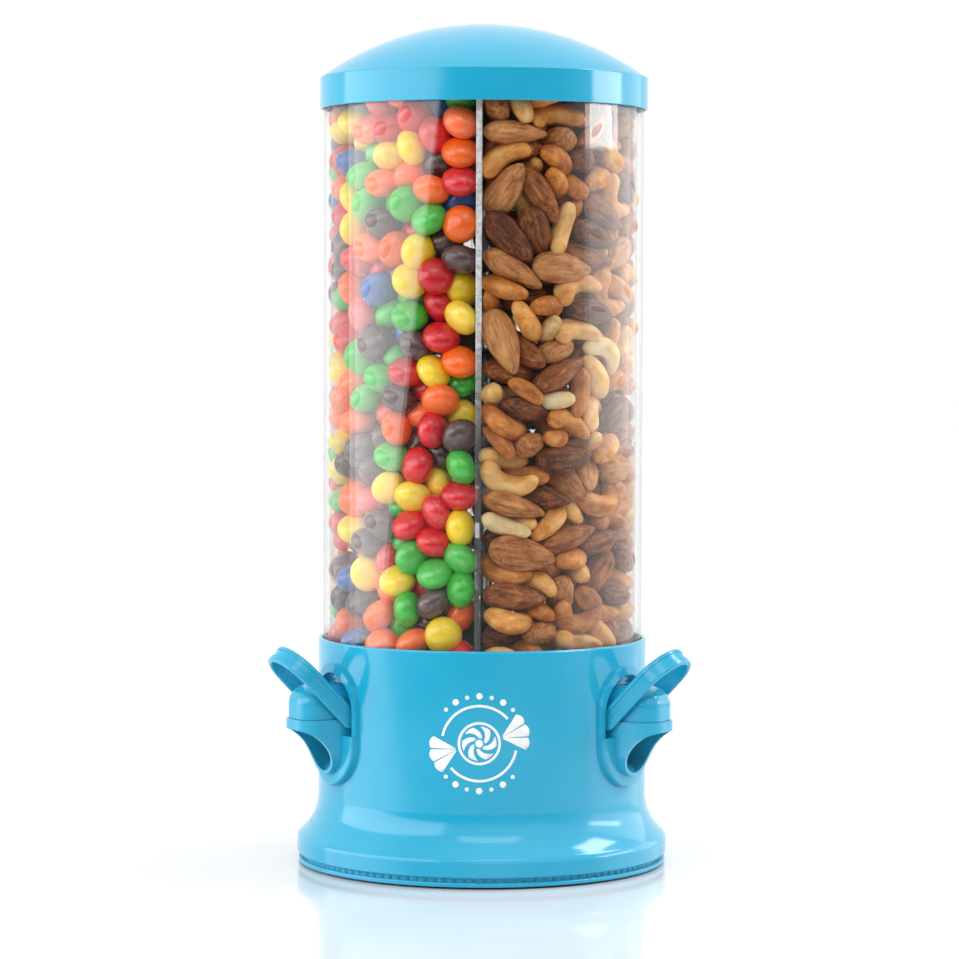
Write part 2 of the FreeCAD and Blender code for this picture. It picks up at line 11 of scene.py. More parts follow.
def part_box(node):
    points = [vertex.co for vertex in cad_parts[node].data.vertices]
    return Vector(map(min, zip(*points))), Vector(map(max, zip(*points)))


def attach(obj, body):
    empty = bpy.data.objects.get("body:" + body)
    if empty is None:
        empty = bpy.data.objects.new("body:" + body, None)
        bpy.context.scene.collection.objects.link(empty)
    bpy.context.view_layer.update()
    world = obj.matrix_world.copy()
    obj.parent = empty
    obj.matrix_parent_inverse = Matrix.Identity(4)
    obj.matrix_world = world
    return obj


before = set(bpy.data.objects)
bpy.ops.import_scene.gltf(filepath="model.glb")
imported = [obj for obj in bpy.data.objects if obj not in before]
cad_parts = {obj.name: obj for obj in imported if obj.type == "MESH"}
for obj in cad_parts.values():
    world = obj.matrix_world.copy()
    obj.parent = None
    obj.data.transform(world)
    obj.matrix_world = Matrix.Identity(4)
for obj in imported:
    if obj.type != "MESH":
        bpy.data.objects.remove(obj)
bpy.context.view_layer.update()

MM = 0.001
SEED = 11
MACHINE = "machine"          # the body that the contents and the emblem ride on
scene = bpy.context.scene

# ---- driving dimensions, in metres and degrees ----------------------------------------------
TUBE_WALL = 2.7 * MM
TUBE_LOW, TUBE_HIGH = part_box("clear_tube")
TUBE_INNER = TUBE_HIGH.x - TUBE_WALL
PANEL_EDGE = TUBE_INNER - 1.2 * MM      # only the outer edge of a divider lies beyond this radius
EDGE_LIGHT_FROM, EDGE_LIGHT_TO = 0.17, 0.225      # painted light: that edge is painted white, more so between these heights, for light carried through the panel
SHELL_RADIUS = 65.6 * MM
FILL_FLOOR = TUBE_LOW.z
FILL_TOP = TUBE_HIGH.z - 5 * MM

# ---- contents ---------------------------------------------------------------------------------
# the compartments, by the direction of their middle, and the walls between them
COMPARTMENTS = {"left": 210.0, "right": 330.0, "rear": 90.0}
DIVIDER_TURNS = (30.0, 150.0, 270.0)
DIVIDER_HALF = 1.35 * MM
CORE_RADIUS = 41 * MM        # a block fills the unseen middle, so that fewer pieces are needed
CORE_TOP = 0.262             # the block ends well below the top of the fill

SWEET_COUNT = 312
BALL_COUNT = 210
NUT_COUNT = 282
SWEET_SHARES = (("red", 21), ("orange", 19), ("yellow", 17), ("green", 20), ("blue", 8), ("brown", 15))
GUMBALL_SHARES = (("red", 1), ("orange", 1), ("yellow", 1), ("green", 1), ("blue", 1))
NUT_SHARES = {"almonds": 9, "cashews": 10, "peanuts": 4, "split_cashews": 1}

SWEET_RADIUS, SWEET_HALF_HEIGHT = 7.4 * MM, 5.4 * MM
BALL_RADIUS = 7.4 * MM

# smallest and largest sizes of the nuts, in millimetres
ALMOND_LENGTH, ALMOND_WIDTH, ALMOND_THICKNESS = (23, 28), (11.5, 13.5), (8.5, 10)
CASHEW_SPAN, CASHEW_THICKNESS = (20, 24), (9, 10.5)
PEANUT_LENGTH, PEANUT_WIDTH = (14, 17), (8.5, 9.5)
SPLIT_CASHEW_SPAN, SPLIT_CASHEW_THICKNESS = 22 * MM, 8.5 * MM
BIG_NUT_VARIANTS, SMALL_NUT_VARIANTS = 5, 2

# starting layers of each compartment: pieces side by side, height, and tip of a long piece in degrees
SWEET_LAYERS = [(6, 15 * MM, 0)]
BALL_LAYERS = [(6, 15.2 * MM, 0)]
NUT_LAYERS = [(3, 15 * MM, 0), (6, 29 * MM, 88), (4, 22 * MM, 45), (4, 22 * MM, -45)]
ROUND_SPREAD, NUT_SPREAD = 98.0, 94.0   # degrees across a layer of round pieces and a layer of nuts
LANE_RADIUS = 52 * MM                   # the pieces start in a ring of about this radius
LANE_WIDTH = 1 * MM                     # width of that ring
START_HEIGHT = 14 * MM                  # height of its foot above the floor under the contents
STAGGER = 0.25                          # share of a lane by which a layer is shifted, to alternate sides
TIP_SCATTER = 8                         # most degrees by which the tip of a long piece varies

# ---- looks --------------------------------------------------------------------------------------
CLEAR_INDEX = 1.58
CLEAR_TINT = (0.985, 0.99, 0.985, 1.0)
BLUE = (0.005, 0.38, 0.605, 1.0)
BLACK = (0.0, 0.0, 0.0, 1.0)
WHITE = (1.0, 1.0, 1.0, 1.0)
CANDY_COLOURS = {            # 8-bit sRGB
    "red": (218, 18, 34),
    "orange": (255, 104, 6),
    "yellow": (252, 214, 30),
    "green": (52, 186, 54),
    "blue": (30, 92, 168),
    "brown": (66, 24, 28),
}

# ---- printed emblem: a wrapped sweet in a ring --------------------------------------------------
EMBLEM_MIDDLE = (1.0 * MM, 55.0 * MM)   # sideways and up
EMBLEM_LEAN = 15.0
EMBLEM_LIFT = 0.03 * MM                 # the middle of the paint stands this far off the shell
PAINT_THICKNESS = 0.08 * MM
HEART_RADIUS = 1.5 * MM
SWIRL_INNER, SWIRL_OUTER = 2.1 * MM, 6.6 * MM
SWIRL_ARMS, SWIRL_WIDTH, SWIRL_TWIST = 6, 34.0, 52.0
SWEET_RIM_INNER, SWEET_RIM_OUTER = 7.3 * MM, 8.3 * MM
WRAPPER_FOOT, WRAPPER_INNER, WRAPPER_REACH = 8.6 * MM, 0.8 * MM, 11.4 * MM
WRAPPER_FOLDS = ((-42, -16), (-13, 13), (16, 42))
RING_INNER, RING_OUTER, RING_GAP = 13.9 * MM, 14.9 * MM, 26.0
DOT_RADIUS, DOT_STEP = 18.2 * MM, 15.0
SMALL_DOT, LARGE_DOT = 0.8 * MM, 1.25 * MM

# ---- floor, backdrop and lights -----------------------------------------------------------------
FLOOR_HALF = 9.0
PAPER_DARK, PAPER_LIGHT = (0.77, 0.77, 0.77, 1.0), (0.8, 0.8, 0.8, 1.0)
# painted shade: the grey of the floor well in front
PAINTED_SHADE_AHEAD = (0.4, 0.4, 0.4, 1.0)
DIM_FROM, DIM_TO = -0.4, -0.85          # painted shade: the floor is painted greyer between these places in front
SKY_BRIGHT = (1.08, 1.08, 1.08, 1.0)
SKY_DIM = (0.04, 0.04, 0.045, 1.0)
SKY_AHEAD = (-0.6, 0.0)                 # the Y of a direction: fully in front, and no longer in front
SKY_LOW = (0.12, 0.4)                   # the Z of a direction: fully low, and no longer low
SOFTBOXES = (                # name, azimuth, distance, low edge, high edge, width, brightness, roll
    ("left_softbox", -66.7, 1.5, 0.08, 1.0, 2.8, 2.6, 18.0),
    ("front_high", 8.0, 2.2, 1.9, 2.9, 2.0, 2.5, 0.0),
    ("right_wall", 112.0, 1.7, 0.1, 1.0, 2.0, 1.1, 0.0),
    ("right_window", 96.0, 1.5, 0.36, 0.52, 0.8, 6.0, 0.0),
    ("right_high", 104.0, 1.5, 1.15, 2.1, 0.7, 9.5, 0.0),
)

# ---- camera, aimed slightly left of the axis ------------------------------------------------------
CAMERA_TURN = math.radians(1.7)
CAMERA_DISTANCE = 1.34
CAMERA_HEIGHT = 0.216
CAMERA_ROLL = math.radians(0.2)
AIM_HEIGHT = 0.153
AIM_SIDE = -1.3 * MM
LENS = 125.8


# ---- small helpers --------------------------------------------------------------------------
def link(obj):
    scene.collection.objects.link(obj)
    return obj


def mesh_object(name, vertices, faces, smooth=True):
    mesh = bpy.data.meshes.new(name)
    mesh.from_pydata([tuple(v) for v in vertices], [], faces)
    mesh.update()
    if smooth:
        mesh.shade_smooth()
    return link(bpy.data.objects.new(name, mesh))


class Nodes:
    """A thin wrapper round the node tree of a material or a world, which adds nodes and joins them."""

    def __init__(self, owner, output="ShaderNodeOutputMaterial"):
        owner.use_nodes = True
        self.owner = owner
        self.tree = owner.node_tree
        self.tree.nodes.clear()
        self.out = self.add(output)

    def add(self, kind, **values):
        node = self.tree.nodes.new(kind)
        for key, value in values.items():
            setattr(node, key, value)
        return node

    def join(self, source, target):
        self.tree.links.new(source, target)

    def show(self, shader):
        """Makes this shader the surface and hands back the finished material or world."""
        self.join(shader.outputs[0], self.out.inputs["Surface"])
        return self.owner

    def principled(self, **values):
        shader = self.add("ShaderNodeBsdfPrincipled")
        for key, value in values.items():
            shader.inputs[key.replace("_", " ")].default_value = value
        return shader

    def object_coordinates(self):
        return self.add("ShaderNodeTexCoord").outputs["Object"]

    def noise(self, vector, scale, detail=3.0, roughness=0.55):
        node = self.add("ShaderNodeTexNoise")
        node.inputs["Scale"].default_value = scale
        node.inputs["Detail"].default_value = detail
        node.inputs["Roughness"].default_value = roughness
        self.join(vector, node.inputs["Vector"])
        return node.outputs["Fac"]

    def ramp(self, value, stops):
        node = self.add("ShaderNodeValToRGB")
        elements = node.color_ramp.elements
        while len(elements) > 1:
            elements.remove(elements[-1])
        elements[0].position, elements[0].color = stops[0]
        for place, colour in stops[1:]:
            element = elements.new(place)
            element.color = colour
        self.join(value, node.inputs["Fac"])
        return node.outputs["Color"]

    def span(self, value, low, high, from_low=0.0, from_high=1.0):
        """Carries a value between from_low and from_high over to between low and high."""
        node = self.add("ShaderNodeMapRange")
        node.inputs["From Min"].default_value = from_low
        node.inputs["From Max"].default_value = from_high
        node.inputs["To Min"].default_value = low
        node.inputs["To Max"].default_value = high
        self.join(value, node.inputs["Value"])
        return node.outputs["Result"]

    def calc(self, operation, first, second):
        node = self.add("ShaderNodeMath", operation=operation)
        for socket, value in zip(node.inputs, (first, second)):
            if isinstance(value, (int, float)):
                socket.default_value = value
            else:
                self.join(value, socket)
        return node.outputs[0]

    def mix(self, factor, first, second):
        node = self.add("ShaderNodeMix", data_type="RGBA")
        self.join(factor, node.inputs["Factor"])
        for socket, value in ((node.inputs["A"], first), (node.inputs["B"], second)):
            if isinstance(value, tuple):
                socket.default_value = value
            else:
                self.join(value, socket)
        return node.outputs["Result"]

    def bump(self, height, strength, distance):
        node = self.add("ShaderNodeBump")
        node.inputs["Strength"].default_value = strength
        node.inputs["Distance"].default_value = distance
        self.join(height, node.inputs["Height"])
        return node.outputs["Normal"]

    def parts(self, vector):
        """The X, Y and Z of a vector."""
        node = self.add("ShaderNodeSeparateXYZ")
        self.join(vector, node.inputs[0])
        return node.outputs

    def blend(self, factor, first, second):
        node = self.add("ShaderNodeMixShader")
        self.join(factor, node.inputs[0])
        self.join(first.outputs[0], node.inputs[1])
        self.join(second.outputs[0], node.inputs[2])
        return node


def new_material(name):
    return Nodes(bpy.data.materials.new(name))


def linear(red, green, blue):
    """An 8-bit sRGB colour as linear RGBA."""
    def one(c):
        c /= 255.0
        return c / 12.92 if c <= 0.04045 else ((c + 0.055) / 1.055) ** 2.4
    return (one(red), one(green), one(blue), 1.0)


def between(a, b, share):
    return tuple(x + (y - x) * share for x, y in zip(a, b))


# ---- materials ------------------------------------------------------------------------------------
def moulded_plastic(name, colour, roughness):
    """Glossy injection-moulded plastic: slight flow shading, soft orange peel and fine scuffs."""
    n = new_material(name)
    place = n.object_coordinates()
    shader = n.principled(IOR=1.5)
    flow = n.noise(place, scale=14.0, detail=2.0)
    dark, light = between(colour, BLACK, 0.07), between(colour, WHITE, 0.035)
    n.join(n.ramp(flow, [(0.3, dark), (0.7, light)]), shader.inputs["Base Color"])
    scuffs = n.noise(place, scale=900.0, detail=6.0, roughness=0.75)
    worn = n.span(scuffs, roughness - 0.03, roughness + 0.09, from_low=0.4, from_high=0.75)
    n.join(worn, shader.inputs["Roughness"])
    peel, grain = n.noise(place, scale=120.0, detail=2.0), n.noise(place, scale=2600.0)
    height = n.calc("ADD", peel, n.calc("MULTIPLY", grain, 0.12))
    n.join(n.bump(height, strength=0.2, distance=0.12 * MM), shader.inputs["Normal"])
    return n.show(shader)


def painted_edge_light(n, clear, place, radius, low, high):
    """Paints light into a clear piece beyond a radius: a white that stands for light carried through its
    edge, more and more so between two heights.
    """
    x, y, z = n.parts(place)
    across = n.calc("SQRT", n.calc("ADD", n.calc("POWER", x, 2.0), n.calc("POWER", y, 2.0)), 0.0)
    outer = n.calc("GREATER_THAN", across, radius)
    speck = n.span(n.noise(place, scale=700.0, detail=4.0), 0.6, 1.0, from_low=0.35, from_high=0.6)
    amount = n.calc("MULTIPLY", speck, n.span(z, 0.1, 0.9, from_low=low, from_high=high))
    # painted light: a white diffuse that stands for light carried through the edge of the panel
    edge_light_paint = n.add("ShaderNodeBsdfDiffuse")
    edge_light_paint.inputs["Color"].default_value = (0.9, 0.9, 0.92, 1.0)
    return n.blend(n.calc("MULTIPLY", outer, amount), clear, edge_light_paint)


def clear_plastic(name, gloss, edge=None):
    """Clear polished plastic: light goes straight through and its Fresnel share mirrors the lights.

    With edge = (radius, low, high), what lies beyond that radius gets that painted light, more so towards
    the height high.
    """
    n = new_material(name)
    place = n.object_coordinates()
    inside = n.add("ShaderNodeBsdfTransparent")
    inside.inputs["Color"].default_value = CLEAR_TINT
    if edge:
        inside = painted_edge_light(n, inside, place, *edge)
    mirror = n.add("ShaderNodeBsdfGlossy")
    mirror.inputs["Roughness"].default_value = gloss
    fresnel = n.add("ShaderNodeFresnel")
    side = n.add("ShaderNodeNewGeometry").outputs["Backfacing"]
    n.join(n.span(side, CLEAR_INDEX, 1 / CLEAR_INDEX), fresnel.inputs["IOR"])
    ripple = n.bump(n.noise(place, scale=45.0, detail=2.0), strength=0.1, distance=0.1 * MM)
    n.join(ripple, mirror.inputs["Normal"])
    n.join(ripple, fresnel.inputs["Normal"])
    return n.show(n.blend(fresnel.outputs[0], inside, mirror))


def speckled(n, shader, place, scale, dark, light, detail=3.0):
    """Colours a shader between two tones in fine specks, and hands back the specks."""
    speck = n.noise(place, scale, detail)
    n.join(n.ramp(speck, [(0.3, dark), (0.7, light)]), shader.inputs["Base Color"])
    return speck


def steel(name):
    n = new_material(name)
    place = n.object_coordinates()
    shader = n.principled(Metallic=1.0)
    speckled(n, shader, place, 700.0, (0.42, 0.43, 0.44, 1.0), (0.66, 0.67, 0.68, 1.0))
    n.join(n.span(n.noise(place, scale=1500.0), 0.22, 0.45), shader.inputs["Roughness"])
    return n.show(shader)


def rubber(name):
    n = new_material(name)
    shader = n.principled(Roughness=0.8)
    dark, light = (0.012, 0.012, 0.013, 1.0), (0.03, 0.03, 0.032, 1.0)
    speck = speckled(n, shader, n.object_coordinates(), 2500.0, dark, light, detail=5.0)
    n.join(n.bump(speck, strength=0.6, distance=0.2 * MM), shader.inputs["Normal"])
    return n.show(shader)


def satin_plastic(name, colour):
    n = new_material(name)
    place = n.object_coordinates()
    shader = n.principled(Roughness=0.42)
    speckled(n, shader, place, 60.0, between(colour, BLACK, 0.1), colour, detail=4.0)
    grain = n.noise(place, scale=1800.0)
    n.join(n.bump(grain, strength=0.3, distance=0.1 * MM), shader.inputs["Normal"])
    return n.show(shader)


def item_place(n):
    """Coordinates within a single piece of the contents, shifted at random from piece to piece."""
    node = n.add("ShaderNodeAttribute", attribute_name="local")
    return node.outputs["Vector"]


def item_tint(n):
    """A random number from 0 to 1 that is the same all over a single piece of the contents."""
    node = n.add("ShaderNodeAttribute", attribute_name="tint")
    return node.outputs["Fac"]


def candy_shell(name, colour):
    """A sugar-shelled sweet: hard polished colour with faint mottling and tiny pits."""
    n = new_material(name)
    place = item_place(n)
    mottle = n.noise(place, scale=420.0, detail=4.0)
    shade = n.calc("ADD", n.calc("MULTIPLY", mottle, 0.6), n.calc("MULTIPLY", item_tint(n), 0.5))
    deep, pale = between(colour, BLACK, 0.25), between(colour, WHITE, 0.08)
    shader = n.principled(IOR=1.5, Coat_Weight=0.5, Coat_Roughness=0.08)
    n.join(n.ramp(shade, [(0.2, deep), (0.55, colour), (0.9, pale)]), shader.inputs["Base Color"])
    n.join(n.span(mottle, 0.16, 0.34), shader.inputs["Roughness"])
    pits = n.noise(place, scale=900.0)
    n.join(n.bump(pits, strength=0.25, distance=0.15 * MM), shader.inputs["Normal"])
    return n.show(shader)


def nut_skin(name, dark, middle, light, streaks, roughness, furrow):
    """A roasted nut: streaks along its length, blotches, pale salt, and furrows and grain in relief."""
    n = new_material(name)
    place = item_place(n)
    stretch = n.add("ShaderNodeMapping")
    stretch.inputs["Scale"].default_value = (0.16, 1.0, 1.0)
    n.join(place, stretch.inputs["Vector"])
    streak = n.noise(stretch.outputs[0], scale=streaks, detail=5.0, roughness=0.65)
    blotch, grain = n.noise(place, scale=170.0), n.noise(place, scale=1500.0)
    shade = n.calc("ADD", n.calc("MULTIPLY", streak, 0.62), n.calc("MULTIPLY", blotch, 0.3))
    shade = n.calc("ADD", shade, n.calc("MULTIPLY", n.calc("SUBTRACT", item_tint(n), 0.5), 0.3))
    shader = n.principled(IOR=1.45)
    skin = n.ramp(shade, [(0.3, dark), (0.46, middle), (0.64, light)])
    salt = n.span(grain, 0.0, 0.75, from_low=0.64, from_high=0.72)
    n.join(n.mix(salt, skin, between(light, WHITE, 0.3)), shader.inputs["Base Color"])
    n.join(n.span(blotch, roughness, roughness + 0.2), shader.inputs["Roughness"])
    height = n.calc("ADD", streak, n.calc("MULTIPLY", grain, 0.3))
    n.join(n.bump(height, strength=1.0, distance=furrow), shader.inputs["Normal"])
    return n.show(shader)


def printed_white(name):
    n = new_material(name)
    shader = n.principled(Roughness=0.4)
    dark, light = (0.78, 0.82, 0.84, 1.0), (0.93, 0.94, 0.94, 1.0)
    speck = speckled(n, shader, n.object_coordinates(), 1600.0, dark, light, detail=4.0)
    n.join(n.bump(speck, strength=0.2, distance=0.05 * MM), shader.inputs["Normal"])
    return n.show(shader)


# ---- shapes of the contents ---------------------------------------------------------------------
def closed_shape(rows, columns, poles, point):
    """Points and faces of a closed shape made of one pole, rings of points and the other pole.

    point(a, b) places a point: a runs from 0 to pi between the poles, and b once round the ring.
    """
    points = [poles[0]]
    for r in range(1, rows + 1):
        for c in range(columns):
            points.append(point(math.pi * r / (rows + 1), 2 * math.pi * c / columns))
    points.append(poles[1])
    faces = []
    last = 1 + (rows - 1) * columns
    for i in range(columns):
        j = (i + 1) % columns
        faces.append((0, 1 + j, 1 + i))
        for a in range(1, last, columns):
            faces.append((a + i, a + j, a + columns + j, a + columns + i))
        faces.append((last + i, last + j, last + columns))
    return np.array(points), faces


def lentil(radius, half_height):
    """A lens-shaped sweet, thick at the middle with a well rounded rim."""
    def point(a, b):
        flat = radius * math.sin(a) ** 0.9
        high = half_height * math.copysign(abs(math.cos(a)) ** 1.02, math.cos(a))
        return flat * math.cos(b), flat * math.sin(b), high

    return closed_shape(15, 28, ((0.0, 0.0, half_height), (0.0, 0.0, -half_height)), point)


def gumball(radius):
    def point(a, b):
        return (radius * math.sin(a) * math.cos(b), radius * math.sin(a) * math.sin(b), radius * math.cos(a))

    return closed_shape(17, 28, ((0.0, 0.0, radius), (0.0, 0.0, -radius)), point)


def almond(length, width, thickness, rng):
    """A teardrop nut with a pointed end, a blunt end and shallow furrows along its length."""
    first, second, third, _ = [rng.uniform(0, 2 * math.pi) for _ in range(4)]

    def point(a, b):
        t = -math.cos(a)
        body = math.sin(a) ** 0.9 * (1.0 - 0.3 * t - 0.1 * t * t)
        furrow = 0.026 * math.sin(9 * b + first + t) + 0.02 * math.sin(14 * b + second - 2 * t)
        lump = 0.03 * math.sin(2 * b + third + 2.2 * t)
        scale = body * (1.0 + (furrow + lump) * math.sin(a))
        return length / 2 * t, width / 2 * scale * math.cos(b), thickness / 2 * scale * math.sin(b)

    return closed_shape(26, 30, ((-length / 2, 0.0, 0.0), (length / 2, 0.0, 0.0)), point)


def peanut(length, width):
    """A split roasted peanut kernel: rounded outside, nearly flat on the split side."""
    def point(a, b):
        reach = width / 2 * math.sin(a) ** 0.8
        height = math.sin(b) if math.sin(b) > 0 else 0.35 * math.sin(b)
        return -length / 2 * math.cos(a), reach * math.cos(b), reach * height

    return closed_shape(18, 20, ((-length / 2, 0.0, 0.0), (length / 2, 0.0, 0.0)), point)


def cashew(span, thickness, rng):
    """A kidney-shaped nut: a bent, tapering body with a crease on its inner side."""
    bend = math.radians(rng.uniform(165, 200))
    radius = span * 0.36
    first, second, _ = [rng.uniform(0, 2 * math.pi) for _ in range(3)]
    taper = rng.uniform(0.24, 0.36)

    def middle(t):
        angle = bend * (t - 0.5)
        return radius * math.sin(angle), radius * (0.5 - math.cos(angle)), angle

    def point(a, b):
        t = 0.5 - 0.5 * math.cos(a)
        x, y, angle = middle(t)
        body = math.sin(a) ** 0.62 * (1.0 - taper * (t - 0.35))
        crease = 1.0 - 0.14 * math.exp(-((math.cos(b) + 1.0) / 0.18) ** 2)
        lump = 1.0 + 0.035 * math.sin(2 * b + first + 5 * t) + 0.02 * math.sin(5 * b + second)
        reach = thickness / 2 * body * crease * lump
        out = reach * math.cos(b)
        return x + out * math.sin(angle), y - out * math.cos(angle), reach * 0.88 * math.sin(b)

    return closed_shape(30, 22, (middle(0.0)[:2] + (0.0,), middle(1.0)[:2] + (0.0,)), point)


# ---- packing the contents -------------------------------------------------------------------------
WORLD_SCALE = 100.0          # the rigid bodies are settled at 100 times life size
GRAVITY = 60.0
SETTLING_FRAMES = 150
SUBSTEPS = 10
SOLVER_STEPS = 12
BODY = {
    "use_margin": True,
    "collision_margin": 0.01,
    "friction": 0.35,
    "restitution": 0.0,
    "linear_damping": 0.1,
    "angular_damping": 0.35,
}
WALL_COUNT = 36              # flat walls, side by side, stand for the inside of the tube
WALL_HEIGHT = 1.5            # high enough to guide the whole starting column
WALL_HALF_THICKNESS = 12 * MM
WALL_HALF_WIDTH = 7.5 * MM
WALL_CLEARANCE = 0.1 * MM
DIVIDER_HALF_LENGTH = 32 * MM
CORE_BLOCKS = 12
SLAB_HALF = 80 * MM          # the floor under the contents
SLAB_HALF_HEIGHT = 10 * MM
TRIM_SLACK = 1 * MM          # a piece whose middle is further outside the tube than this is left out
HULL_POINTS = 44             # about this many points of a shape are used for its hull


class Settling:
    """Drops loose pieces into the three compartments with rigid bodies and reads where they come to rest."""

    def __init__(self):
        self.items = []
        self.props = []
        bpy.ops.rigidbody.world_add()
        world = scene.rigidbody_world
        world.substeps_per_frame = SUBSTEPS
        world.solver_iterations = SOLVER_STEPS
        world.point_cache.frame_start = 1
        world.point_cache.frame_end = SETTLING_FRAMES
        self.gravity = tuple(scene.gravity)
        scene.gravity = (0.0, 0.0, -GRAVITY)

    def make_bodies(self, objects, kind):
        for obj in bpy.context.selected_objects:
            obj.select_set(False)
        for obj in objects:
            obj.select_set(True)
        bpy.context.view_layer.objects.active = objects[0]
        bpy.ops.rigidbody.objects_add(type=kind)
        for obj in objects:
            body = obj.rigid_body
            body.collision_shape = "BOX" if kind == "PASSIVE" else "CONVEX_HULL"
            for key, value in BODY.items():
                setattr(body, key, value)

    def box(self, centre, half, azimuth):
        """A fixed block, given in metres, turned about the axis."""
        mesh = bpy.data.meshes.new("block")
        bm = bmesh.new()
        bmesh.ops.create_cube(bm, size=2.0)
        bm.to_mesh(mesh)
        bm.free()
        obj = link(bpy.data.objects.new("block", mesh))
        turn = Matrix.Rotation(math.radians(azimuth), 4, "Z")
        size = Matrix.Diagonal([h * WORLD_SCALE for h in half] + [1.0])
        obj.matrix_world = turn @ Matrix.Translation(Vector(centre) * WORLD_SCALE) @ size
        self.props.append(obj)

    def walls(self):
        """The tube, the three dividers, the floor under them and the block in the middle."""
        middle = FILL_FLOOR + WALL_HEIGHT / 2
        step = 360.0 / WALL_COUNT
        inner = TUBE_INNER * math.cos(math.radians(step / 2)) - WALL_CLEARANCE
        wall = (WALL_HALF_THICKNESS, WALL_HALF_WIDTH, WALL_HEIGHT / 2)
        for k in range(WALL_COUNT):
            self.box((inner + WALL_HALF_THICKNESS, 0, middle), wall, step * (k + 0.5))
        divider = (DIVIDER_HALF_LENGTH, DIVIDER_HALF, WALL_HEIGHT / 2)
        for azimuth in DIVIDER_TURNS:
            self.box((DIVIDER_HALF_LENGTH, 0, middle), divider, azimuth)
        slab = (SLAB_HALF, SLAB_HALF, SLAB_HALF_HEIGHT)
        self.box((0, 0, FILL_FLOOR - SLAB_HALF_HEIGHT), slab, 0.0)
        core_half = (CORE_TOP - FILL_FLOOR) / 2
        side = CORE_RADIUS * math.tan(math.pi / CORE_BLOCKS)
        for k in range(CORE_BLOCKS):
            centre = (CORE_RADIUS / 2, 0, FILL_FLOOR + core_half)
            self.box(centre, (CORE_RADIUS / 2, side, core_half), 360.0 / CORE_BLOCKS * k)
        self.make_bodies(self.props, "PASSIVE")

    def drop(self, kind, shape, hull, place, turn):
        """Starts one piece at a place, given in metres."""
        obj = link(bpy.data.objects.new(kind, hull))
        obj.matrix_world = Matrix.Translation(Vector(place) * WORLD_SCALE) @ turn.to_4x4()
        self.items.append((kind, shape, obj))

    def settle(self):
        """Runs the simulation and gives (kind, shape, matrix) of every piece at its end."""
        self.make_bodies([obj for _, _, obj in self.items], "ACTIVE")
        for number in range(1, SETTLING_FRAMES + 1):
            scene.frame_set(number)
        graph = bpy.context.evaluated_depsgraph_get()
        rest = []
        for kind, shape, obj in self.items:
            matrix = obj.evaluated_get(graph).matrix_world.copy()
            matrix.translation = matrix.translation / WORLD_SCALE
            rest.append((kind, shape, matrix))
        return rest

    def clear(self):
        """Removes the bodies, their meshes and the physics world again."""
        meshes = {obj.data for _, _, obj in self.items} | {obj.data for obj in self.props}
        for obj in [o for _, _, o in self.items] + self.props:
            bpy.data.objects.remove(obj)
        for mesh in meshes:
            bpy.data.meshes.remove(mesh)
        bpy.ops.rigidbody.world_remove()
        scene.gravity = self.gravity
        scene.frame_set(1)


def hull_of(points):
    """A light convex mesh, at the settling scale, that stands for a piece while it falls."""
    bm = bmesh.new()
    for p in points[:: max(1, len(points) // HULL_POINTS)]:
        bm.verts.new(Vector(p) * WORLD_SCALE)
    bmesh.ops.convex_hull(bm, input=bm.verts)
    loose = [v for v in bm.verts if not v.link_faces]
    bmesh.ops.delete(bm, geom=loose, context="VERTS")
    mesh = bpy.data.meshes.new("hull")
    bm.to_mesh(mesh)
    bm.free()
    return mesh


def any_turn(rng):
    return Quaternion([rng.gauss(0, 1) for _ in range(4)]).normalized().to_matrix()


def tipped_turn(rng, azimuth, tip):
    """A long piece set along the wall and tipped up by about that many degrees."""
    along = Matrix.Rotation(math.radians(azimuth + 90.0), 3, "Z")
    tipped = Matrix.Rotation(math.radians(tip + rng.uniform(-TIP_SCATTER, TIP_SCATTER)), 3, "Y")
    roll = Matrix.Rotation(rng.uniform(0, 2 * math.pi), 3, "X")
    return along @ tipped @ roll


def column(azimuth, layers, spread, count, rng):
    """Starting places in one compartment, over a spread of degrees; the layers are used in turn."""
    z = FILL_FLOOR + START_HEIGHT
    placed = 0
    number = 0
    while placed < count:
        lanes, height, tip = layers[number % len(layers)]
        stagger = STAGGER if number % 2 else -STAGGER
        for lane in range(lanes):
            angle = azimuth + spread * ((lane + 0.5 + stagger) / lanes - 0.5)
            a = math.radians(angle)
            r = LANE_RADIUS + rng.uniform(-0.5, 0.5) * LANE_WIDTH
            yield angle, tip, (r * math.cos(a), r * math.sin(a), z + height / 2)
        placed += lanes
        z += height
        number += 1


def pick(shares, rng):
    """One of the names, drawn by its share."""
    names, weights = zip(*shares)
    return rng.choices(names, weights=weights)[0]


def gather(name, pieces, rng):
    """Joins settled pieces of one kind into one mesh that carries each piece's own coordinates and tint."""
    vertices, faces, local, tint = [], [], [], []
    for points, face_list, matrix in pieces:
        start = sum(len(v) for v in vertices)
        m = np.array(matrix)
        vertices.append(points @ m[:3, :3].T + m[:3, 3])
        faces.extend(tuple(i + start for i in face) for face in face_list)
        local.append(points + np.array([rng.uniform(0, 1) for _ in range(3)]))
        tint.append(np.full(len(points), rng.uniform(0, 1)))
    mesh = bpy.data.meshes.new(name)
    mesh.from_pydata(np.vstack(vertices).tolist(), [], faces)
    mesh.update()
    mesh.shade_smooth()
    place = mesh.attributes.new("local", "FLOAT_VECTOR", "POINT")
    place.data.foreach_set("vector", np.vstack(local).astype(np.float32).ravel())
    shade = mesh.attributes.new("tint", "FLOAT", "POINT")
    shade.data.foreach_set("value", np.concatenate(tint).astype(np.float32))
    obj = link(bpy.data.objects.new(name, mesh))
    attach(obj, MACHINE)
    return obj


def trimmed(rest):
    """Keeps what came to rest below the fill line and inside the tube."""
    for kind, shape, matrix in rest:
        x, y, z = matrix.translation
        if FILL_FLOOR < z < FILL_TOP and math.hypot(x, y) < TUBE_INNER + TRIM_SLACK:
            yield kind, shape, matrix


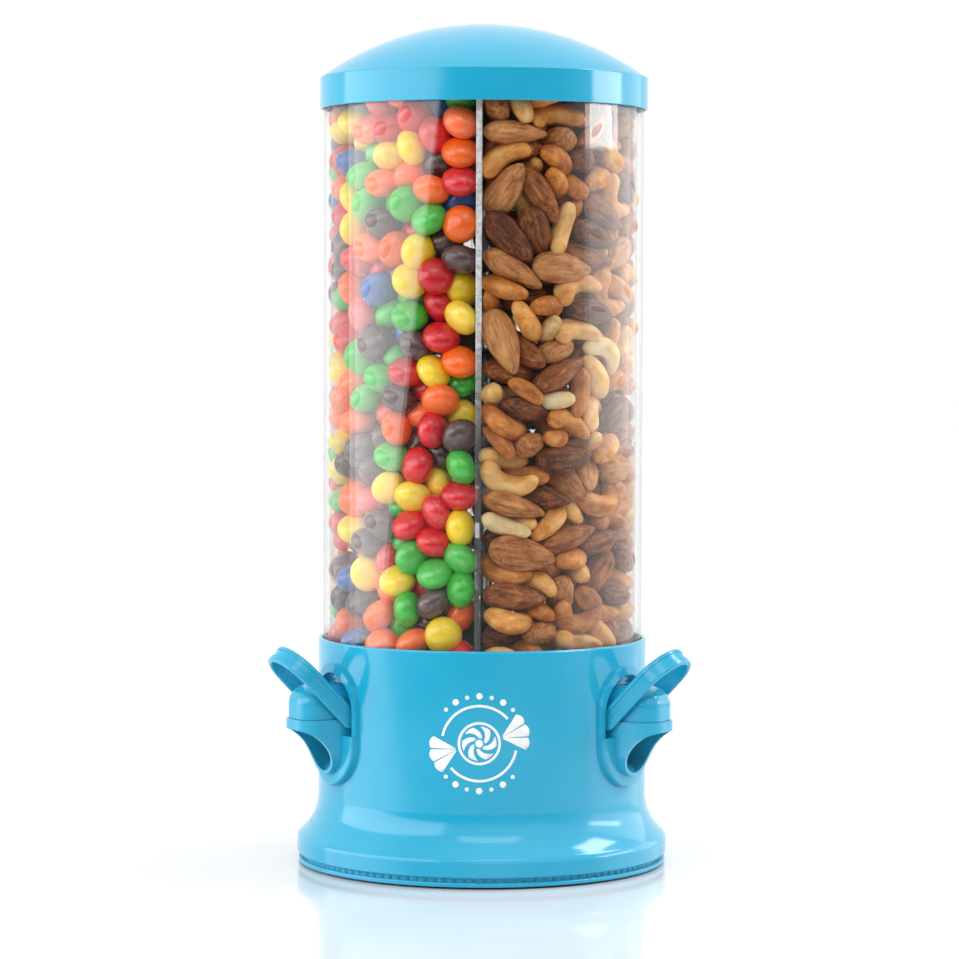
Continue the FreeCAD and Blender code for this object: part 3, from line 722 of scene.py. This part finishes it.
def nut_variants(rng):
    """(kind, shape) of the different nuts that are scattered in the right compartment."""
    def size(limits):
        return rng.uniform(*limits)

    variants = []
    for _ in range(BIG_NUT_VARIANTS):
        length, width, thickness = size(ALMOND_LENGTH), size(ALMOND_WIDTH), size(ALMOND_THICKNESS)
        variants.append(("almonds", almond(length * MM, width * MM, thickness * MM, rng)))
        variants.append(("cashews", cashew(size(CASHEW_SPAN) * MM, size(CASHEW_THICKNESS) * MM, rng)))
    for _ in range(SMALL_NUT_VARIANTS):
        variants.append(("peanuts", peanut(size(PEANUT_LENGTH) * MM, size(PEANUT_WIDTH) * MM)))
        variants.append(("split_cashews", cashew(SPLIT_CASHEW_SPAN, SPLIT_CASHEW_THICKNESS, rng)))
    return variants


def fill_compartments():
    """Sweets on the left, mixed nuts on the right, gumballs at the back."""
    rng = random.Random(SEED)
    settling = Settling()
    settling.walls()
    sweet = lentil(SWEET_RADIUS, SWEET_HALF_HEIGHT)
    ball = gumball(BALL_RADIUS)
    sweet_hull, ball_hull = hull_of(sweet[0]), hull_of(ball[0])
    for _, _, place in column(COMPARTMENTS["left"], SWEET_LAYERS, ROUND_SPREAD, SWEET_COUNT, rng):
        settling.drop("sweet_" + pick(SWEET_SHARES, rng), sweet, sweet_hull, place, any_turn(rng))
    for _, _, place in column(COMPARTMENTS["rear"], BALL_LAYERS, ROUND_SPREAD, BALL_COUNT, rng):
        settling.drop("gumball_" + pick(GUMBALL_SHARES, rng), ball, ball_hull, place, any_turn(rng))
    variants = nut_variants(rng)
    hulls = [hull_of(shape[0]) for _, shape in variants]
    chances = [NUT_SHARES[kind] for kind, _ in variants]
    for angle, tip, place in column(COMPARTMENTS["right"], NUT_LAYERS, NUT_SPREAD, NUT_COUNT, rng):
        k = rng.choices(range(len(variants)), weights=chances)[0]
        settling.drop(*variants[k], hulls[k], place, tipped_turn(rng, angle, tip))
    groups = {}
    for kind, (points, faces), matrix in trimmed(settling.settle()):
        groups.setdefault(kind, []).append((points, faces, matrix))
    settling.clear()
    return {kind: gather(kind, pieces, rng) for kind, pieces in sorted(groups.items())}


# ---- printed emblem ---------------------------------------------------------------------------------
def printed(name, patches, radius, thickness):
    """Flat patches of (sideways, height) points wrapped round the shell and given a paint thickness."""
    vertices, faces = [], []
    for grid in patches:
        start = len(vertices)
        for row in grid:
            for s, z in row:
                a = s / radius - math.pi / 2
                vertices.append((radius * math.cos(a), radius * math.sin(a), z))
        columns = len(grid[0])
        for r in range(len(grid) - 1):
            for c in range(columns - 1):
                a = start + r * columns + c
                faces.append((a, a + 1, a + columns + 1, a + columns))
    obj = mesh_object(name, vertices, faces)
    bm = bmesh.new()
    bm.from_mesh(obj.data)
    bmesh.ops.remove_doubles(bm, verts=bm.verts, dist=1e-6)
    bmesh.ops.recalc_face_normals(bm, faces=bm.faces)
    bm.to_mesh(obj.data)
    bm.free()
    solid = obj.modifiers.new("paint", "SOLIDIFY")
    solid.thickness = thickness
    solid.offset = 0.0
    return obj


def annulus(centre, inner, outer, start=0.0, end=360.0, steps=96, twist=0.0):
    """Part of a ring as rows of points; twist turns the outer side on by that many degrees."""
    rows = []
    for k in range(steps + 1):
        row = []
        for share in (0.0, 0.25, 0.5, 0.75, 1.0):
            a = math.radians(start + (end - start) * k / steps + twist * share)
            r = inner + (outer - inner) * share
            row.append((centre[0] + r * math.cos(a), centre[1] + r * math.sin(a)))
        rows.append(row)
    return rows


def wrapper_blade(centre, heading, start, end, reach):
    """One fold of the sweet's twisted wrapper, widening away from the sweet to a rounded edge."""
    rows = []
    for k in range(13):
        t = k / 12
        a = math.radians(heading + start + (end - start) * t)
        outer = reach * (0.93 + 0.07 * math.sin(math.pi * t))
        rows.append([(centre[0] + r * math.cos(a), centre[1] + r * math.sin(a))
                     for r in (WRAPPER_INNER, outer * 0.35, outer * 0.7, outer)])
    return rows


def emblem_patches():
    """A wrapped sweet across a broken ring, with rows of dots above and below."""
    def at(heading, distance):
        a = math.radians(heading)
        return EMBLEM_MIDDLE[0] + distance * math.cos(a), EMBLEM_MIDDLE[1] + distance * math.sin(a)

    patches = [annulus(EMBLEM_MIDDLE, SWEET_RIM_INNER, SWEET_RIM_OUTER, steps=120),
               annulus(EMBLEM_MIDDLE, 0.0, HEART_RADIUS, steps=40)]
    for k in range(SWIRL_ARMS):
        start = 360.0 / SWIRL_ARMS * k
        end = start + SWIRL_WIDTH
        patches.append(annulus(EMBLEM_MIDDLE, SWIRL_INNER, SWIRL_OUTER, start, end, 24, SWIRL_TWIST))
    for side in (EMBLEM_LEAN, EMBLEM_LEAN + 180.0):
        start, end = side + RING_GAP, side + 180.0 - RING_GAP
        patches.append(annulus(EMBLEM_MIDDLE, RING_INNER, RING_OUTER, start, end, 72))
    for heading in (EMBLEM_LEAN, EMBLEM_LEAN + 180.0):
        for start, end in WRAPPER_FOLDS:
            patches.append(wrapper_blade(at(heading, WRAPPER_FOOT), heading, start, end, WRAPPER_REACH))
    for half in (90.0, 270.0):
        for k in range(-3, 4):
            dot = at(half + DOT_STEP * k, DOT_RADIUS)
            patches.append(annulus(dot, 0.0, SMALL_DOT if k % 2 else LARGE_DOT, steps=28))
    return patches


# ---- finishes on the CAD parts -------------------------------------------------------------------------
# the outer edge of each divider carries painted light, whiter towards the top
divider_clear = clear_plastic("divider_clear", gloss=0.06, edge=(PANEL_EDGE, EDGE_LIGHT_FROM, EDGE_LIGHT_TO))
SLOT_FINISHES = {
    "shell_blue": moulded_plastic("moulded_blue", BLUE, roughness=0.12),
    "lid_blue": moulded_plastic("lid_blue_gloss", BLUE, roughness=0.12),
    "lever_blue": moulded_plastic("lever_blue_gloss", BLUE, roughness=0.2),
    "foot_blue": moulded_plastic("foot_blue_gloss", BLUE, roughness=0.24),
    "clear_plastic": clear_plastic("clear_polished", gloss=0.03),
    "hopper_white": satin_plastic("hopper_satin", linear(232, 232, 226)),
    "nylon_white": satin_plastic("nylon_satin", linear(225, 222, 210)),
    "rubber_pad": rubber("pad_rubber"),
    "steel": steel("plated_steel"),
}
for name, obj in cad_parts.items():
    for slot in obj.material_slots:
        finish = SLOT_FINISHES[slot.material.name]
        slot.material = divider_clear if name.endswith("_divider") else finish

CONTENT_FINISHES = {
    "almonds": nut_skin("almond_skin", linear(84, 34, 8), linear(166, 92, 38), linear(226, 160, 98),
                        streaks=620.0, roughness=0.4, furrow=1.6 * MM),
    "cashews": nut_skin("cashew_roast", linear(168, 88, 22), linear(220, 146, 62), linear(244, 200, 128),
                        streaks=210.0, roughness=0.32, furrow=0.6 * MM),
    "peanuts": nut_skin("peanut_roast", linear(140, 66, 14), linear(208, 128, 46), linear(232, 172, 90),
                        streaks=280.0, roughness=0.34, furrow=0.5 * MM),
    "split_cashews": nut_skin("cashew_split", linear(196, 150, 80), linear(232, 204, 150),
                              linear(246, 230, 196), streaks=140.0, roughness=0.5, furrow=0.2 * MM),
}
for name, colour in CANDY_COLOURS.items():
    for candy in ("sweet", "gumball"):
        CONTENT_FINISHES[candy + "_" + name] = candy_shell(candy + "_shell_" + name, linear(*colour))

for kind, obj in fill_compartments().items():
    obj.data.materials.append(CONTENT_FINISHES[kind])

emblem = printed("printed_emblem", emblem_patches(), SHELL_RADIUS + EMBLEM_LIFT, PAINT_THICKNESS)
emblem.data.materials.append(printed_white("emblem_ink"))
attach(emblem, MACHINE)


# ---- floor, backdrop and lights --------------------------------------------------------------------------
def floor_material():
    """Pale, slightly glossy paper with painted shade well in front: greyer there so that the clear tube
    mirrors less of it.
    """
    n = new_material("floor_white")
    place = n.object_coordinates()
    shader = n.principled(IOR=1.5)
    paper = n.ramp(n.noise(place, scale=8.0), [(0.3, PAPER_DARK), (0.7, PAPER_LIGHT)])
    # painted shade: the floor is painted grey well in front, so the clear tube mirrors a darker floor
    ahead = n.span(n.parts(place)["Y"], 0.0, 1.0, from_low=DIM_FROM, from_high=DIM_TO)
    n.join(n.mix(ahead, paper, PAINTED_SHADE_AHEAD), shader.inputs["Base Color"])
    n.join(n.span(n.noise(place, scale=40.0), 0.08, 0.12), shader.inputs["Roughness"])
    return n.show(shader)


corners = [(x * FLOOR_HALF, y * FLOOR_HALF, 0.0) for x, y in ((-1, -1), (1, -1), (1, 1), (-1, 1))]
floor = mesh_object("floor", corners, [(0, 1, 2, 3)], smooth=False)
floor.data.materials.append(floor_material())


def toward(azimuth, distance, height):
    """A point round the object; azimuth 0 is the front, positive to the right."""
    a = math.radians(azimuth)
    return Vector((math.sin(a) * distance, -math.cos(a) * distance, height))


def softbox(name, azimuth, distance, low, high, width, radiance, roll):
    """A panel of a given brightness that faces the axis, between two heights, rolled by some degrees."""
    light = bpy.data.lights.new(name, "AREA")
    light.shape = "RECTANGLE"
    light.size, light.size_y = width, high - low
    light.energy = radiance * math.pi * width * (high - low)
    obj = link(bpy.data.objects.new(name, light))
    place = toward(azimuth, distance, (low + high) / 2)
    facing_axis = (Vector((0, 0, place.z)) - place).to_track_quat("-Z", "Y").to_matrix().to_4x4()
    obj.matrix_world = Matrix.Translation(place) @ facing_axis @ Matrix.Rotation(math.radians(roll), 4, "Z")


for settings in SOFTBOXES:
    softbox(*settings)


def studio_world():
    """An even white room that is dim low down in front."""
    sky = Nodes(bpy.data.worlds.new("studio"), "ShaderNodeOutputWorld")
    _, y, z = sky.parts(sky.add("ShaderNodeTexCoord").outputs["Generated"])
    ahead = sky.span(y, 1.0, 0.0, *SKY_AHEAD)
    low_down = sky.span(z, 1.0, 0.0, *SKY_LOW)
    background = sky.add("ShaderNodeBackground")
    shade = sky.mix(sky.calc("MULTIPLY", ahead, low_down), SKY_BRIGHT, SKY_DIM)
    sky.join(shade, background.inputs["Color"])
    return sky.show(background)


scene.world = studio_world()
scene.view_settings.view_transform = "Standard"


# ---- the view -------------------------------------------------------------------------------------------
sideways = Vector((math.cos(CAMERA_TURN), math.sin(CAMERA_TURN), 0.0))
eye = Vector((math.sin(CAMERA_TURN), -math.cos(CAMERA_TURN), 0.0)) * CAMERA_DISTANCE
eye.z = CAMERA_HEIGHT
aim = sideways * AIM_SIDE + Vector((0, 0, AIM_HEIGHT))
camera_data = bpy.data.cameras.new("camera")
camera_data.lens = LENS
camera = link(bpy.data.objects.new("camera", camera_data))
facing = (aim - eye).to_track_quat("-Z", "Y").to_matrix().to_4x4()
camera.matrix_world = Matrix.Translation(eye) @ facing @ Matrix.Rotation(CAMERA_ROLL, 4, "Z")
scene.camera = camera
